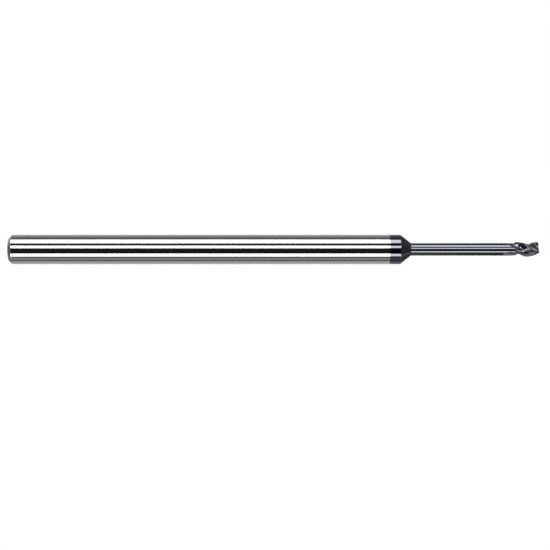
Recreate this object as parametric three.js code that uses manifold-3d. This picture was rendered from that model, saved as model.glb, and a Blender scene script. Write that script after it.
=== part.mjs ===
// A miniature solid-carbide end mill: three flutes, a corner radius and a long relieved neck.
// It lies along X with the cutting end towards +X, +Z up. The origin is the centre of the shank's flat
// back face. Lengths are in millimetres, angles in degrees.
//
// The tool is ground from one rod of sintered carbide, and its front carries a hard vapour-deposited
// film. So it has two parts: the ground carbide blank, and the coating that covers it from the coating
// line to the tip.
import * as THREE from "three";
import { mergeVertices } from "three/addons/utils/BufferGeometryUtils.js";
import Module from "manifold-3d";

const wasm = await Module();
wasm.setup();

// Driving dimensions of the ground tool.
const OVERALL_LENGTH = 57.15;
const SHANK_DIAMETER = 3.175;
const SHANK_CHAMFER = 0.38;
const CUTTER_DIAMETER = 1.5875;
const NECK_DIAMETER = 1.35;
const CONE_HALF_ANGLE = 38.5;
const COLLAR_LENGTH = 1.17;
const COATED_LENGTH = 16.1;
const FLUTE_COUNT = 3;
const HELIX_ANGLE = 38;
const CUT_LENGTH = 2.5;
const HEAD_RAMP_LENGTH = 0.12;
const FULL_DEPTH_LENGTH = 2.1;
const RUN_OUT_LENGTH = 1.75;
const STRAIGHTENING_LENGTH = 1.75;
const CORNER_RADIUS = 0.2;
const GASH_LENGTH = 0.5;
const GASH_DEPTH_RATIO = 0.75;
const GASH_CENTRE = 12;
const GASH_HALF_WIDTH = 38;
const EDGE_ANGLE_AT_TIP = 102;

// The film is drawn thicker than the few micrometres of a real one, with a hair of room behind it.
const FILM_THICKNESS = 0.02;
const FILM_CLEARANCE = 0.01;

// Fineness of the faceted surfaces.
const SHANK_FACETS = 32;
const HEAD_STEP = 0.13;
const CORNER_STEPS = 4;
const MERGE_DISTANCE = 1e-5;

// One flute and its land in a plane square to the axis, from one cutting edge round to the next, as
// [radius / cutter radius, degrees behind the edge]: rake face, floor, heel, then the relieved land.
const FLUTE_SECTION = [
  [1.0, 0],
  [0.93, 2],
  [0.84, 7],
  [0.755, 15],
  [0.68, 25],
  [0.62, 36],
  [0.58, 47],
  [0.575, 56],
  [0.62, 66],
  [0.71, 77],
  [0.82, 88],
  [0.92, 100],
  [0.97, 111],
];
const CORE_RATIO = 0.575;

const shankRadius = SHANK_DIAMETER / 2;
const cutterRadius = CUTTER_DIAMETER / 2;
const neckRadius = NECK_DIAMETER / 2;
const sector = 360 / FLUTE_COUNT;
const coneAngle = THREE.MathUtils.degToRad(CONE_HALF_ANGLE);
const lead = (Math.PI * CUTTER_DIAMETER) / Math.tan(THREE.MathUtils.degToRad(HELIX_ANGLE));
const coatingLine = OVERALL_LENGTH - COATED_LENGTH;
const collarEnd = coatingLine + COLLAR_LENGTH;
const coneEnd = collarEnd + (shankRadius - neckRadius) / Math.tan(coneAngle);
const fullDepthStart = OVERALL_LENGTH - FULL_DEPTH_LENGTH;
const runOutStart = fullDepthStart - RUN_OUT_LENGTH;
const headStart = OVERALL_LENGTH - CUT_LENGTH;
const cornerStart = OVERALL_LENGTH - CORNER_RADIUS;

const carbide = new THREE.MeshStandardMaterial({ color: 0xc9cacb, roughness: 0.2, metalness: 1 });
const nitride = new THREE.MeshStandardMaterial({ color: 0x4a4d58, roughness: 0.3, metalness: 1 });

// A point of a section, r from the axis at an angle about it.
function polar(r, degrees) {
  const angle = THREE.MathUtils.degToRad(degrees);
  return new THREE.Vector2(r * Math.cos(angle), r * Math.sin(angle));
}

// The angle of the first cutting edge about the axis: a right-hand helix that straightens out where
// the flutes begin to run out.
function edgeAngle(x) {
  const over = THREE.MathUtils.clamp(fullDepthStart - x, 0, STRAIGHTENING_LENGTH);
  const slack = over ** 2 / (2 * STRAIGHTENING_LENGTH);
  const helical = Math.max(x, fullDepthStart) - over + slack;
  return EDGE_ANGLE_AT_TIP + (360 * (helical - OVERALL_LENGTH)) / lead;
}

// How far the flute has run out at x: 0 at full depth, 1 where the neck is round again.
function runOut(x) {
  return THREE.MathUtils.clamp((fullDepthStart - x) / RUN_OUT_LENGTH, 0, 1);
}

// The share of the radius that the end gash takes away: it deepens towards the tip, beside the rake.
function gashShare(x, behind) {
  const along = THREE.MathUtils.clamp((x - OVERALL_LENGTH + GASH_LENGTH) / GASH_LENGTH, 0, 1);
  const aside = THREE.MathUtils.clamp((behind - GASH_CENTRE) / GASH_HALF_WIDTH, -1, 1);
  return GASH_DEPTH_RATIO * along * Math.cos((aside * Math.PI) / 2) ** 2;
}

// The fluted outline at x, before the neck and the corner radius limit it. As the flute runs out,
// its floor climbs an arc to the neck's surface and its points spread evenly.
function flutedOutline(x) {
  const out = runOut(x);
  const lift = (neckRadius - CORE_RATIO * cutterRadius) * out ** 2;
  const points = [];
  for (let flute = 0; flute < FLUTE_COUNT; flute += 1) {
    FLUTE_SECTION.forEach(([ratio, behind], i) => {
      const even = (sector * i) / FLUTE_SECTION.length;
      const angle = THREE.MathUtils.lerp(behind, even, out);
      const r = cutterRadius * ratio * (1 - gashShare(x, behind)) + lift;
      points.push(polar(r, edgeAngle(x) + flute * sector + angle));
    });
  }
  return points;
}

// An outline moved inwards by a distance, with mitred corners.
function inset(points, distance) {
  const count = points.length;
  const normals = points.map((p, i) => {
    const side = points[(i + 1) % count].clone().sub(p).normalize();
    return new THREE.Vector2(side.y, -side.x);
  });
  return points.map((p, i) => {
    const before = normals[(i + count - 1) % count];
    const after = normals[i];
    const mitre = before.clone().add(after).divideScalar(1 + before.dot(after));
    return p.clone().addScaledVector(mitre, -distance);
  });
}

// A section of the head: the fluted outline, inset, and cut off at the radius of the turned body.
function headRing(x, limit, depth) {
  const outline = inset(flutedOutline(x), depth);
  return { x, points: outline.map((p) => p.clampLength(0, limit)) };
}

// A round section whose points line up with those of the head where the flutes have run out.
function roundRing(x, r) {
  const count = FLUTE_COUNT * FLUTE_SECTION.length;
  const start = edgeAngle(runOutStart);
  const points = Array.from({ length: count }, (_, i) => polar(r, start + (360 * i) / count));
  return { x, points };
}

// The radius of the turned body along the head, up to the corner radius.
function headLimit(x) {
  const up = THREE.MathUtils.clamp((x - headStart + HEAD_RAMP_LENGTH) / HEAD_RAMP_LENGTH, 0, 1);
  return THREE.MathUtils.lerp(neckRadius, cutterRadius, up);
}

// The sections of the coated front, from a start on the collar to the tip, all moved inwards.
function frontRings(start, depth) {
  const cornerShift = depth * Math.tan(coneAngle / 2);
  const rings = [
    roundRing(start, shankRadius - depth),
    roundRing(collarEnd - cornerShift, shankRadius - depth),
    roundRing(coneEnd - cornerShift, neckRadius - depth),
    roundRing(runOutStart, neckRadius - depth),
  ];
  const steps = Math.ceil((cornerStart - runOutStart) / HEAD_STEP);
  for (let i = 1; i <= steps; i += 1) {
    const x = THREE.MathUtils.lerp(runOutStart, cornerStart, i / steps);
    rings.push(headRing(x, headLimit(x) - depth, depth));
  }
  const radius = CORNER_RADIUS - depth;
  for (let i = 1; i <= CORNER_STEPS; i += 1) {
    const turn = (Math.PI / 2) * (i / CORNER_STEPS);
    const limit = cutterRadius - CORNER_RADIUS + radius * Math.cos(turn);
    rings.push(headRing(cornerStart + radius * Math.sin(turn), limit, depth));
  }
  return rings;
}

// Adds the wall between consecutive sections to a triangle list, facing out, and returns the list.
function addWall(triangles, rings, first, count) {
  for (let k = 0; k + 1 < rings; k += 1) {
    for (let i = 0; i < count; i += 1) {
      const a = first + k * count + i;
      const b = first + k * count + ((i + 1) % count);
      triangles.push([a, b, b + count], [a, b + count, a + count]);
    }
  }
  return triangles;
}

// The flat end of a section as triangles, facing +X.
function endFace(points, first) {
  return THREE.ShapeUtils.triangulateShape(points, []).map(([a, b, c]) => {
    const ab = points[b].clone().sub(points[a]);
    const ac = points[c].clone().sub(points[a]);
    return ab.cross(ac) > 0 ? [first + a, first + b, first + c] : [first + a, first + c, first + b];
  });
}

const flipped = (triangles) => triangles.map(([a, b, c]) => [a, c, b]);
const vertices = (rings) => rings.flatMap((ring) => ring.points.flatMap((p) => [ring.x, p.x, p.y]));

function geometryOf(positions, indices) {
  const geometry = new THREE.BufferGeometry();
  geometry.setAttribute("position", new THREE.Float32BufferAttribute(positions, 3));
  geometry.setIndex(indices);
  return geometry;
}

// A closed solid through a row of sections.
function loft(rings) {
  const count = rings[0].points.length;
  const last = (rings.length - 1) * count;
  const triangles = addWall([], rings.length, 0, count);
  triangles.push(...flipped(endFace(rings[0].points, 0)));
  triangles.push(...endFace(rings.at(-1).points, last));
  return geometryOf(vertices(rings), triangles.flat());
}

function toManifold(geometry) {
  const merged = mergeVertices(geometry, MERGE_DISTANCE);
  const vertProperties = new Float32Array(merged.getAttribute("position").array);
  const triVerts = new Uint32Array(merged.getIndex().array);
  return new wasm.Manifold(new wasm.Mesh({ numProp: 3, vertProperties, triVerts }));
}

function fromManifold(solid) {
  const mesh = solid.getMesh();
  return geometryOf(Array.from(mesh.vertProperties), Array.from(mesh.triVerts));
}

// The round shank, flat on its back face, with a small chamfer for sliding into a collet. The facets
// touch the true circle, so the width across them is the shank's diameter.
function shankSolid() {
  const half = 180 / SHANK_FACETS;
  const toCorner = 1 / Math.cos(THREE.MathUtils.degToRad(half));
  const ring = (x, r) => {
    const at = (_, i) => polar(r * toCorner, half * (2 * i + 1));
    return { x, points: Array.from({ length: SHANK_FACETS }, at) };
  };
  return loft([
    ring(0, shankRadius - SHANK_CHAMFER),
    ring(SHANK_CHAMFER, shankRadius),
    ring(coatingLine, shankRadius),
  ]);
}

// The whole ground tool without its film: the shank, and under the film the collar, cone, neck and
// fluted head, each smaller by the film and its clearance.
function carbideBlank() {
  const rootedInShank = coatingLine - COLLAR_LENGTH;
  const core = loft(frontRings(rootedInShank, FILM_THICKNESS + FILM_CLEARANCE));
  const blank = toManifold(shankSolid()).add(toManifold(core));
  return new THREE.Mesh(fromManifold(blank), carbide);
}

// The film: a closed skin over the collar, cone, neck, flutes and end, open at the coating line.
function coating() {
  const start = coatingLine + FILM_CLEARANCE;
  const outside = frontRings(start, 0);
  const inside = frontRings(start, FILM_THICKNESS);
  const count = outside[0].points.length;
  const rings = outside.length;
  const inner = rings * count;
  const triangles = addWall([], rings, 0, count);
  triangles.push(...flipped(addWall([], rings, inner, count)));
  triangles.push(...endFace(outside.at(-1).points, inner - count));
  triangles.push(...flipped(endFace(inside.at(-1).points, 2 * inner - count)));
  for (let i = 0; i < count; i += 1) {
    const next = (i + 1) % count;
    triangles.push([next, i, inner + i], [next, inner + i, inner + next]);
  }
  const positions = [...vertices(outside), ...vertices(inside)];
  return new THREE.Mesh(geometryOf(positions, triangles.flat()), nitride);
}

function namedMesh(name, mesh) {
  mesh.name = name;
  return mesh;
}

const endMill = new THREE.Group();
endMill.add(namedMesh("carbide_blank", carbideBlank()));
endMill.add(namedMesh("front_coating", coating()));

export default endMill;
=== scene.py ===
# A miniature coated carbide end mill lying on a white studio table, tip towards +X.
# Metres throughout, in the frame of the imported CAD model.
import math

import bpy
import numpy as np
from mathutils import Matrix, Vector


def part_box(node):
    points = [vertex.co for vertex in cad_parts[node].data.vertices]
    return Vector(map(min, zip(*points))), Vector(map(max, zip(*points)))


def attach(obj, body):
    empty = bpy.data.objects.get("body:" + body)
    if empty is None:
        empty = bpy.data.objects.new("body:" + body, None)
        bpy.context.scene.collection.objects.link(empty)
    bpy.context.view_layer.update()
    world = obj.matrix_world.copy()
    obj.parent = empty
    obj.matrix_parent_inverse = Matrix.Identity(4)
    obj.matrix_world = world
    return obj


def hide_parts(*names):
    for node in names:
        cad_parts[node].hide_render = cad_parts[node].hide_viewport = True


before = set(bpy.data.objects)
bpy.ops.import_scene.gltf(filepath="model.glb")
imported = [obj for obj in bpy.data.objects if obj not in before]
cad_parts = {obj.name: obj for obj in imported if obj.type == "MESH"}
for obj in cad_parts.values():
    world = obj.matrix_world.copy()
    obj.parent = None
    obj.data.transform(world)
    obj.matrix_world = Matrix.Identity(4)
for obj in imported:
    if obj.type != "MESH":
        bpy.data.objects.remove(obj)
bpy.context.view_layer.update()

MM = 0.001

# Taken from the frame: the tool's length, its shank and the start of the coating.
blank_low, blank_high = (np.array(corner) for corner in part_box("carbide_blank"))
film_low, film_high = (np.array(corner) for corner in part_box("front_coating"))
LENGTH = film_high[0]
SHANK_RADIUS = blank_high[2]
FLOOR_HEIGHT = blank_low[2]
COATING_LINE = film_low[0]

# Ground form of the front, as on the CAD model.
SHANK_CHAMFER = 0.38 * MM
COLLAR_LENGTH = 1.17 * MM
CONE_HALF_ANGLE = math.radians(38.5)
NECK_RADIUS = 0.675 * MM
CUTTER_RADIUS = 0.79375 * MM
CUT_LENGTH = 2.5 * MM
HEAD_RAMP_LENGTH = 0.12 * MM
FULL_DEPTH_LENGTH = 2.1 * MM
RUN_OUT_LENGTH = 1.75 * MM
STRAIGHTENING_LENGTH = 1.75 * MM
CORNER_RADIUS = 0.2 * MM
FLUTES = 3
SECTOR = 360 / FLUTES
HELIX_ANGLE = math.radians(38)
EDGE_ANGLE_AT_TIP = 102
CORE_RATIO = 0.575
LEAD = 2 * math.pi * CUTTER_RADIUS / math.tan(HELIX_ANGLE)

# End gashes, dish and relief of the end teeth.
GASH_LENGTH = 0.5 * MM
GASH_DEPTH_RATIO = 0.75
GASH_CENTRE = 12
GASH_HALF_WIDTH = 38
DISH_ANGLE = math.radians(3)
END_RELIEF_ANGLE = math.radians(7)

# The film, as thick as on the CAD model, and the room behind it.
FILM = 0.02 * MM
FILM_ROOM = 0.01 * MM

# Rounding between ground surfaces, and where the matt finish of the lands and run-outs starts.
EDGE_ROUNDING = 0.05 * MM
TURNED_BLEND = 0.012 * MM
MATT_BEFORE_FULL_DEPTH = 0.25 * MM
MATT_RUN_IN = 0.2 * MM
MATT_BEFORE_LAND = 4

# Fineness of the meshes.
BEND_STEPS = 5
CORNER_STEPS = 8
HEAD_STEP = 0.02 * MM
END_SHARES = (0.85, 0.65, 0.45, 0.25, 0.1)
SHARP_ANGLE = 35

# One flute behind its cutting edge, as [radius / cutter radius, degrees behind the edge]: a curve
# through the rake face, the floor and the back, then the two flats of the relieved land.
FLUTE_CURVE = [
    (1.0, 0),
    (0.93, 2),
    (0.84, 7),
    (0.755, 15),
    (0.68, 25),
    (0.62, 36),
    (0.58, 47),
    (0.575, 56),
    (0.62, 66),
    (0.71, 77),
    (0.82, 88),
]
LAND_START = (0.92, 100)
LAND_BREAK = (0.97, 111)
NEXT_EDGE = (1.0, SECTOR)
FLUTE_POINTS = 60
BACK_LAND_POINTS = 8
LAND_POINTS = 8


# ---- Sections of the cutting head ----


def smooth_curve(points, count):
    """count points along a Catmull-Rom curve through these points, without the last one."""
    p = np.array([points[0], *points, points[-1]], float)
    at = np.linspace(0, len(points) - 1, count, endpoint=False)
    k = np.floor(at).astype(int)
    t = (at - k)[:, None]
    a, b, c, d = p[k], p[k + 1], p[k + 2], p[k + 3]
    return 0.5 * (
        2 * b
        + (c - a) * t
        + (2 * a - 5 * b + 4 * c - d) * t**2
        + (3 * b - a - 3 * c + d) * t**3
    )


def straight(start, end, count):
    """count points from one to the other, without the last one."""
    t = np.linspace(0, 1, count, endpoint=False)[:, None]
    return np.array(start) * (1 - t) + np.array(end) * t


def flute_section():
    """Ratio of radius, and degrees behind the edge, of every point from one edge to the next."""
    flute = smooth_curve([*FLUTE_CURVE, LAND_START], FLUTE_POINTS)
    back = straight(LAND_START, LAND_BREAK, BACK_LAND_POINTS)
    land = straight(LAND_BREAK, NEXT_EDGE, LAND_POINTS)
    return np.vstack([flute, back, land])


SECTION = flute_section()
POINTS = FLUTES * len(SECTION)
RATIO = np.tile(SECTION[:, 0], FLUTES)
BEHIND = np.tile(SECTION[:, 1], FLUTES)
FLUTE_START = np.repeat(np.arange(FLUTES) * SECTOR, len(SECTION))
ON_LAND = BEHIND >= LAND_START[1] - MATT_BEFORE_LAND
EVEN = np.tile(np.arange(len(SECTION)) * SECTOR / len(SECTION), FLUTES)

corner_start = LENGTH - CORNER_RADIUS
full_depth_start = LENGTH - FULL_DEPTH_LENGTH
run_out_start = full_depth_start - RUN_OUT_LENGTH
head_start = LENGTH - CUT_LENGTH
collar_end = COATING_LINE + COLLAR_LENGTH
cone_end = collar_end + (SHANK_RADIUS - NECK_RADIUS) / math.tan(CONE_HALF_ANGLE)


def edge_angle(x):
    """A right-hand helix that straightens out where the flutes begin to run out."""
    over = min(max(full_depth_start - x, 0), STRAIGHTENING_LENGTH)
    helical = max(x, full_depth_start) - over + over**2 / (2 * STRAIGHTENING_LENGTH)
    return EDGE_ANGLE_AT_TIP + 360 * (helical - LENGTH) / LEAD


def ramp(x, start, length):
    return float(np.clip((x - start) / length, 0, 1))


def polar(r, degrees):
    angle = np.radians(degrees)
    return np.stack([r * np.cos(angle), r * np.sin(angle)], axis=1)


def inset(outline, distance):
    """A closed outline moved inwards, with mitred corners."""
    side = np.roll(outline, -1, axis=0) - outline
    side /= np.linalg.norm(side, axis=1)[:, None]
    after = np.stack([side[:, 1], -side[:, 0]], axis=1)
    before = np.roll(after, 1, axis=0)
    share = 1 + np.sum(before * after, axis=1)
    return outline - distance * (before + after) / np.maximum(share, 0.5)[:, None]


def gash_share(x):
    """The share of the radius that the end gash takes at each point of the section."""
    aside = np.clip((BEHIND - GASH_CENTRE) / GASH_HALF_WIDTH, -1, 1)
    depth = GASH_DEPTH_RATIO * ramp(x, LENGTH - GASH_LENGTH, GASH_LENGTH)
    return depth * np.cos(aside * np.pi / 2) ** 2


def fluted_outline(x):
    """The ground section in a plane at x. Where the flutes run out it rises towards the neck."""
    out = ramp(-x, -full_depth_start, RUN_OUT_LENGTH)
    lift = (NECK_RADIUS - CORE_RATIO * CUTTER_RADIUS) * out**2
    angle = BEHIND * (1 - out) + EVEN * out
    r = CUTTER_RADIUS * RATIO * (1 - gash_share(x)) + lift
    return polar(r, edge_angle(x) + FLUTE_START + angle)


def head_ring(x, limit, depth):
    """The section's points, and how matt each is: 1 on the lands and where the flutes run out."""
    outline = inset(fluted_outline(x), depth)
    r = np.linalg.norm(outline, axis=1)
    inside = np.clip(0.5 + 0.5 * (limit - r) / TURNED_BLEND, 0, 1)
    turned = inside * r + (1 - inside) * limit - TURNED_BLEND * inside * (1 - inside)
    ground = inside * ramp(-x, MATT_BEFORE_FULL_DEPTH - full_depth_start, MATT_RUN_IN)
    matt = np.where(ON_LAND & (x > head_start), 1, ground)
    outline *= (turned / r)[:, None]
    return np.column_stack([np.full(len(r), x), outline]), matt


def round_ring(x, r, matt=0):
    start = edge_angle(run_out_start)
    outline = polar(np.full(POINTS, r), start + 360 * np.arange(POINTS) / POINTS)
    return np.column_stack([np.full(POINTS, x), outline]), np.full(POINTS, matt)


def head_limit(x):
    """The turned radius of the neck and head, before the flutes are ground."""
    up = ramp(x, head_start - HEAD_RAMP_LENGTH, HEAD_RAMP_LENGTH)
    return NECK_RADIUS + (CUTTER_RADIUS - NECK_RADIUS) * up


def end_drop(ring):
    """How far the end face falls away from the tip plane: dish to the centre, relief behind."""
    r = np.linalg.norm(ring[:, 1:], axis=1)
    behind = np.radians(np.where(BEHIND > GASH_CENTRE, SECTOR - BEHIND, 0))
    dish = (CUTTER_RADIUS - CORNER_RADIUS - r) * math.tan(DISH_ANGLE)
    return np.maximum(dish, 0) + r * behind * math.tan(END_RELIEF_ANGLE)


def bend(x, r, before, after, matt=0):
    """Rings rounding the corner of a profile at x, between two slopes given in radians."""
    reach = EDGE_ROUNDING * math.tan(abs(after - before) / 2)
    rings = []
    for share in np.linspace(0, 1, BEND_STEPS + 1):
        back = (1 - share) ** 2 * reach
        on = share**2 * reach
        at = x - back * math.cos(before) + on * math.cos(after)
        radius = r - back * math.sin(before) + on * math.sin(after)
        rings.append(round_ring(at, radius, matt))
    return rings


def front_rings(start, depth):
    """Every section of the coated front from the coating line to the tip, moved inwards by depth.
    Single rings close to each end of a long stretch keep its shading straight."""
    shift = depth * math.tan(CONE_HALF_ANGLE / 2)
    collar_r = SHANK_RADIUS - depth
    neck_r = NECK_RADIUS - depth
    rings = [
        round_ring(start, collar_r),
        round_ring(collar_end - shift - EDGE_ROUNDING, collar_r),
        *bend(collar_end - shift, collar_r, 0, -CONE_HALF_ANGLE),
        *bend(cone_end - shift, neck_r, -CONE_HALF_ANGLE, 0),
        round_ring(cone_end - shift + EDGE_ROUNDING, neck_r),
        round_ring(run_out_start - HEAD_STEP, neck_r),
        round_ring(run_out_start, neck_r),
    ]
    for x in np.arange(run_out_start + HEAD_STEP, corner_start, HEAD_STEP):
        rings.append(head_ring(x, head_limit(x) - depth, depth))
    radius = CORNER_RADIUS - depth
    for turn in np.linspace(0, math.pi / 2, CORNER_STEPS + 1):
        limit = CUTTER_RADIUS - CORNER_RADIUS + radius * math.cos(turn)
        ring, matt = head_ring(corner_start + radius * math.sin(turn), limit, depth)
        ring[:, 0] -= end_drop(ring) * math.sin(turn)
        rings.append((ring, matt))
    return rings


def end_rings(last, depth):
    """The end face as sections shrinking to the centre."""
    ring, _ = last
    rings = []
    for share in END_SHARES:
        inner = ring.copy()
        inner[:, 1:] *= share
        inner[:, 0] = LENGTH - depth - end_drop(inner)
        rings.append((inner, np.ones(POINTS)))
    return rings


# ---- Meshes ----


def wall(first, rings, count):
    """Quads between consecutive sections of a flat list of points, facing out."""
    k, i = np.meshgrid(np.arange(rings - 1), np.arange(count), indexing="ij")
    a = first + k * count + i
    b = first + k * count + (i + 1) % count
    return np.stack([a, b, b + count, a + count], axis=-1).reshape(-1, 4).tolist()


def cap(first, count, centre):
    """Triangles from a section to a centre point, facing +X."""
    return [[first + i, first + (i + 1) % count, centre] for i in range(count)]


def flipped(faces):
    return [list(reversed(face)) for face in faces]


def stacked(rings):
    return np.vstack([ring for ring, _ in rings]), np.concatenate([matt for _, matt in rings])


def make_piece(name, points, faces, matt, body, node, material):
    mesh = bpy.data.meshes.new(name)
    mesh.from_pydata(points.tolist(), [], faces)
    mesh.validate()
    mesh.polygons.foreach_set("use_smooth", [True] * len(mesh.polygons))
    mesh.set_sharp_from_angle(angle=math.radians(SHARP_ANGLE))
    finish = mesh.attributes.new("matt", "FLOAT", "POINT")
    finish.data.foreach_set("value", matt.astype(np.float32))
    piece = bpy.data.objects.new(name, mesh)
    bpy.context.scene.collection.objects.link(piece)
    mesh.materials.append(material)
    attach(piece, body)
    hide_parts(node)
    return piece


def front_surface(start, depth):
    """Points, their finish and the section count of one layer of the front."""
    rings = front_rings(start, depth)
    rings += end_rings(rings[-1], depth)
    points, matt = stacked(rings)
    centre = [[LENGTH - depth - (CUTTER_RADIUS - CORNER_RADIUS) * math.tan(DISH_ANGLE), 0, 0]]
    return np.vstack([points, centre]), np.append(matt, 1), len(rings)


def build_coating(material):
    outer, outer_matt, rings = front_surface(COATING_LINE, 0)
    inner, inner_matt, _ = front_surface(COATING_LINE, FILM)
    n = len(outer)
    faces = wall(0, rings, POINTS) + cap((rings - 1) * POINTS, POINTS, n - 1)
    faces += flipped(wall(n, rings, POINTS) + cap(n + (rings - 1) * POINTS, POINTS, 2 * n - 1))
    for i in range(POINTS):
        j = (i + 1) % POINTS
        faces.append([j, i, n + i, n + j])
    points = np.vstack([outer, inner])
    matt = np.concatenate([outer_matt, inner_matt])
    return make_piece(
        "coating_film", points, faces, matt, "root", "front_coating", material
    )


def shank_rings():
    """The shank from its back face to the step under the film."""
    flat = SHANK_RADIUS - SHANK_CHAMFER
    end = COATING_LINE - FILM_ROOM
    return [
        round_ring(0, 0.5 * flat, 1),
        round_ring(0, flat - EDGE_ROUNDING, 1),
        *bend(0, flat, math.pi / 2, math.pi / 4, 1),
        round_ring(SHANK_CHAMFER - EDGE_ROUNDING, SHANK_RADIUS - EDGE_ROUNDING, 1),
        *bend(SHANK_CHAMFER, SHANK_RADIUS, math.pi / 4, 0),
        round_ring(SHANK_CHAMFER + EDGE_ROUNDING, SHANK_RADIUS),
        round_ring(end - EDGE_ROUNDING, SHANK_RADIUS),
        round_ring(end, SHANK_RADIUS),
        round_ring(end, SHANK_RADIUS - FILM - FILM_ROOM),
    ]


def build_blank(material):
    core, core_matt, core_rings = front_surface(COATING_LINE + FILM_ROOM, FILM + FILM_ROOM)
    shank, shank_matt = stacked(shank_rings())
    rings = len(shank) // POINTS + core_rings
    points = np.vstack([shank, core, [[0, 0, 0]]])
    matt = np.concatenate([shank_matt, core_matt, [1]])
    faces = wall(0, rings, POINTS) + cap((rings - 1) * POINTS, POINTS, len(points) - 2)
    faces += flipped(cap(0, POINTS, len(points) - 1))
    return make_piece(
        "ground_blank", points, faces, matt, "root", "carbide_blank", material
    )


# ---- Materials ----


def new_material(name):
    material = bpy.data.materials.new(name)
    material.use_nodes = True
    tree = material.node_tree
    return material, tree, tree.nodes["Principled BSDF"]


def add(tree, kind, **settings):
    node = tree.nodes.new(kind)
    for key, value in settings.items():
        setattr(node, key, value)
    return node


def math_node(tree, operation, first, second=None):
    node = add(tree, "ShaderNodeMath", operation=operation)
    for socket, value in zip(node.inputs, (first, second)):
        if isinstance(value, (int, float)):
            socket.default_value = value
        elif value is not None:
            tree.links.new(value, socket)
    return node.outputs[0]


def grinding_coordinates(tree):
    """The plain coordinates, and a vector that changes along the axis and away from it only."""
    place = add(tree, "ShaderNodeTexCoord")
    split = add(tree, "ShaderNodeSeparateXYZ")
    tree.links.new(place.outputs["Object"], split.inputs[0])
    y2 = math_node(tree, "POWER", split.outputs[1], 2.0)
    z2 = math_node(tree, "POWER", split.outputs[2], 2.0)
    r = math_node(tree, "SQRT", math_node(tree, "ADD", y2, z2))
    join = add(tree, "ShaderNodeCombineXYZ")
    tree.links.new(split.outputs[0], join.inputs[0])
    tree.links.new(r, join.inputs[1])
    return place.outputs["Object"], join.outputs[0]


def noise(tree, vector, scale, detail=3.0):
    node = add(tree, "ShaderNodeTexNoise")
    node.inputs["Scale"].default_value = scale
    node.inputs["Detail"].default_value = detail
    tree.links.new(vector, node.inputs["Vector"])
    return node.outputs["Fac"]


def remap(tree, value, low, high, start=0.0, end=1.0):
    node = add(tree, "ShaderNodeMapRange")
    for key, number in (("From Min", start), ("From Max", end), ("To Min", low), ("To Max", high)):
        node.inputs[key].default_value = number
    tree.links.new(value, node.inputs["Value"])
    return node.outputs[0]


def mix_colours(tree, share, first, second):
    node = add(tree, "ShaderNodeMix", data_type="RGBA")
    tree.links.new(share, node.inputs["Factor"])
    for socket, value in ((node.inputs["A"], first), (node.inputs["B"], second)):
        if isinstance(value, tuple):
            socket.default_value = (*value, 1)
        else:
            tree.links.new(value, socket)
    return node.outputs["Result"]


def bump(tree, height, distance, strength=1.0):
    node = add(tree, "ShaderNodeBump")
    node.inputs["Strength"].default_value = strength
    node.inputs["Distance"].default_value = distance
    tree.links.new(height, node.inputs["Height"])
    return node.outputs["Normal"]


def ground_carbide():
    """Bright carbide with fine grinding lines round it, matt on its back face and chamfer."""
    material, tree, shader = new_material("ground carbide")
    place, lines = grinding_coordinates(tree)
    fine = noise(tree, lines, 42000, 2.0)
    broad = noise(tree, lines, 2400, 3.0)
    cloud = noise(tree, place, 260, 2.0)
    shader.inputs["Metallic"].default_value = 1.0
    tone = mix_colours(tree, cloud, (0.76, 0.765, 0.77), (0.82, 0.82, 0.825))
    tree.links.new(mix_colours(tree, broad, tone, (0.79, 0.79, 0.795)), shader.inputs["Base Color"])
    matt = add(tree, "ShaderNodeAttribute", attribute_name="matt").outputs["Fac"]
    roughness = math_node(tree, "ADD", remap(tree, broad, 0.05, 0.11), remap(tree, matt, 0.0, 0.25))
    tree.links.new(roughness, shader.inputs["Roughness"])
    tree.links.new(bump(tree, fine, 4e-9), shader.inputs["Normal"])
    return material


def nitride_film():
    """Dark blue-grey film: glossy on the neck, collar and flutes, matt on the lands."""
    material, tree, shader = new_material("nitride coating")
    place, lines = grinding_coordinates(tree)
    matt = add(tree, "ShaderNodeAttribute", attribute_name="matt").outputs["Fac"]
    cloud = noise(tree, place, 900, 3.0)
    fine = noise(tree, lines, 30000, 2.0)
    shader.inputs["Metallic"].default_value = 1.0
    glossy = mix_colours(tree, cloud, (0.165, 0.172, 0.2), (0.185, 0.19, 0.215))
    ground = mix_colours(tree, cloud, (0.15, 0.17, 0.205), (0.2, 0.215, 0.25))
    tree.links.new(mix_colours(tree, matt, glossy, ground), shader.inputs["Base Color"])
    tree.links.new(remap(tree, matt, 0.08, 0.4), shader.inputs["Roughness"])
    tree.links.new(bump(tree, fine, 4e-9), shader.inputs["Normal"])
    return material


# ---- Studio ----


def add_floor():
    """A plain white table top, lit so that it stays white. Metal reflects the studio past it."""
    size = 6 * LENGTH
    mesh = bpy.data.meshes.new("table_top")
    corners = [(-size, -size), (size, -size), (size, size), (-size, size)]
    mesh.from_pydata([(x + LENGTH / 2, y, FLOOR_HEIGHT) for x, y in corners], [], [(0, 1, 2, 3)])
    floor = bpy.data.objects.new("table_top", mesh)
    bpy.context.scene.collection.objects.link(floor)
    material, tree, shader = new_material("table top")
    shader.inputs["Base Color"].default_value = (0.9, 0.9, 0.9, 1)
    shader.inputs["Roughness"].default_value = 0.9
    shader.inputs["Specular IOR Level"].default_value = 0.0
    shader.inputs["Emission Color"].default_value = (1, 1, 1, 1)
    shader.inputs["Emission Strength"].default_value = 0.5
    mesh.materials.append(material)
    floor.visible_glossy = False


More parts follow.
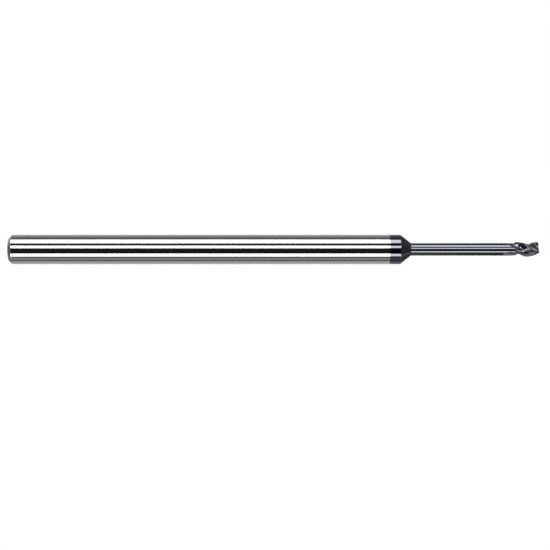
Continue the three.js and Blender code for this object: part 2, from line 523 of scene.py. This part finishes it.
# The studio round the tool's axis, as [degrees up from the camera's side, brightness]. It changes
# along the axis, so there is one list for each direction. A list has at most 32 entries.
# Level with the tool: strip lights with dark gaps, pale walls behind and one more strip there.
STRIP = 3.4
STUDIO = [
    (-180, 0.3),
    (-170, 0.08),
    (-161, 0.08),
    (-159, 0.5),
    (-148, 0.5),
    (-110, 0.38),
    (-106, 0.1),
    (-98, 0.1),
    (-88, 0.24),
    (-76, 0.24),
    (-66, 0.11),
    (-55.7, 0.1),
    (-54.2, STRIP),
    (-36, STRIP),
    (-34.5, 0.01),
    (10.2, 0.01),
    (11.7, STRIP),
    (26.6, STRIP),
    (28.1, 0.02),
    (50.4, 0.02),
    (51.9, STRIP),
    (79.7, STRIP),
    (81.2, 0.09),
    (98, 0.12),
    (110, 0.17),
    (124, 0.3),
    (149, 0.45),
    (167, 0.5),
    (168.5, 1.4),
    (176, 1.4),
    (177.5, 0.3),
    (180, 0.3),
]
# The same off to the tip's side: the walls behind are dark there.
STUDIO_RIGHT = [
    (-180, 0.04),
    (-100, 0.02),
    (-57.5, 0.06),
    (-56, STRIP),
    (-35.5, STRIP),
    (-34, 0.01),
    (9.8, 0.01),
    (11.3, STRIP),
    (26.6, STRIP),
    (28.1, 0.02),
    (49.8, 0.02),
    (51.3, STRIP),
    (81, STRIP),
    (82.5, 0.05),
    (130, 0.04),
    (180, 0.04),
]
# Further round on that side: one strip in front, and a pale table below.
STUDIO_CORNER = [
    (-180, 0.15),
    (-120, 0.5),
    (-105, 1.0),
    (-52, 0.9),
    (-44, 0.06),
    (12, 0.02),
    (15, STRIP),
    (30, STRIP),
    (34, 0.5),
    (58, 0.35),
    (64, 0.15),
    (80, 0.15),
    (95, 0.3),
    (125, 0.3),
    (140, 0.15),
    (180, 0.15),
]
# Past the tip: a light in front, above a pale table.
STUDIO_PAST_TIP = [
    (-180, 0.2),
    (-165, 0.2),
    (-130, 0.08),
    (-108, 0.15),
    (-92, 0.6),
    (-55, 0.7),
    (-30, 0.1),
    (20, 0.08),
    (30, 2.6),
    (44, 2.6),
    (52, 0.22),
    (90, 0.16),
    (106, 0.15),
    (135, 0.1),
    (165, 0.22),
    (180, 0.2),
]
# A little round to the shank's side: dark in front and above.
STUDIO_LEFT = [
    (-180, 0.2),
    (-90, 0.2),
    (-62, 1.5),
    (-45, 1.5),
    (-35, 0.05),
    (95, 0.05),
    (110, 0.4),
    (180, 0.4),
]
# Past the shank's end: lights above and below a dark front.
STUDIO_PAST_SHANK = [
    (-180, 0.2),
    (-90, 0.2),
    (-62, 1.5),
    (-45, 1.5),
    (-35, 0.25),
    (35, 0.15),
    (46, 1.2),
    (85, 2.2),
    (100, 0.6),
    (180, 0.3),
]
FAR_END = 0.1


def band_ramp(tree, position, bands):
    """Brightness from a list of bands, as a colour ramp over the turn round the axis."""
    node = add(tree, "ShaderNodeValToRGB")
    stops = node.color_ramp.elements
    while len(stops) < len(bands):
        stops.new(0.5)
    for stop, (angle, level) in zip(stops, bands):
        stop.position = (angle + 180) / 360
        share = level / STRIP
        stop.color = (share, share, share, 1)
    tree.links.new(position, node.inputs["Fac"])
    return node.outputs["Color"]


def add_studio():
    world = bpy.data.worlds.new("studio")
    bpy.context.scene.world = world
    world.use_nodes = True
    tree = world.node_tree
    background = tree.nodes["Background"]
    place = add(tree, "ShaderNodeTexCoord")
    split = add(tree, "ShaderNodeSeparateXYZ")
    tree.links.new(place.outputs["Generated"], split.inputs[0])
    towards_camera = math_node(tree, "MULTIPLY", split.outputs[1], -1.0)
    turn = math_node(tree, "ARCTAN2", split.outputs[2], towards_camera)
    position = remap(tree, turn, 0.0, 1.0, -math.pi, math.pi)
    along = split.outputs[0]
    lights = band_ramp(tree, position, STUDIO)
    for bands, start, end in (
        (STUDIO_RIGHT, 0.08, 0.15),
        (STUDIO_CORNER, 0.15, 0.2),
        (STUDIO_PAST_TIP, 0.48, 0.58),
        (STUDIO_LEFT, -0.18, -0.24),
        (STUDIO_PAST_SHANK, -0.56, -0.62),
    ):
        share = remap(tree, along, 0.0, 1.0, start, end)
        lights = mix_colours(tree, share, lights, band_ramp(tree, position, bands))
    far = FAR_END / STRIP
    for start, end in ((0.84, 0.92), (-0.78, -0.92)):
        share = remap(tree, along, 0.0, 1.0, start, end)
        lights = mix_colours(tree, share, lights, (far, far, far))
    rays = add(tree, "ShaderNodeLightPath")
    white = 1 / STRIP
    seen = mix_colours(tree, rays.outputs["Is Camera Ray"], lights, (white, white, white))
    tree.links.new(seen, background.inputs["Color"])
    background.inputs["Strength"].default_value = STRIP


# The camera looks level and square to the tool, which lies a little above the middle of the frame.
FRAME_PIXELS = 550
TOOL_PIXELS = 529.4
TOOL_LEFT_OF_MIDDLE = 1.3
TOOL_ABOVE_MIDDLE = 25.6
CAMERA_DISTANCE = 180 * MM


def add_camera():
    camera = bpy.data.cameras.new("camera")
    eye = bpy.data.objects.new("camera", camera)
    bpy.context.scene.collection.objects.link(eye)
    bpy.context.scene.camera = eye
    pixel = LENGTH / TOOL_PIXELS
    camera.sensor_width = 36
    camera.lens = camera.sensor_width * CAMERA_DISTANCE / (FRAME_PIXELS * pixel)
    camera.shift_y = -TOOL_ABOVE_MIDDLE / FRAME_PIXELS
    camera.clip_start = MM
    camera.clip_end = 10
    eye.location = (LENGTH / 2 + TOOL_LEFT_OF_MIDDLE * pixel, -CAMERA_DISTANCE, 0)
    eye.rotation_euler = Vector((0, -1, 0)).to_track_quat("Z", "Y").to_euler()


add_camera()
add_studio()
add_floor()
build_blank(ground_carbide())
build_coating(nitride_film())
bpy.context.scene.view_settings.view_transform = "Standard"
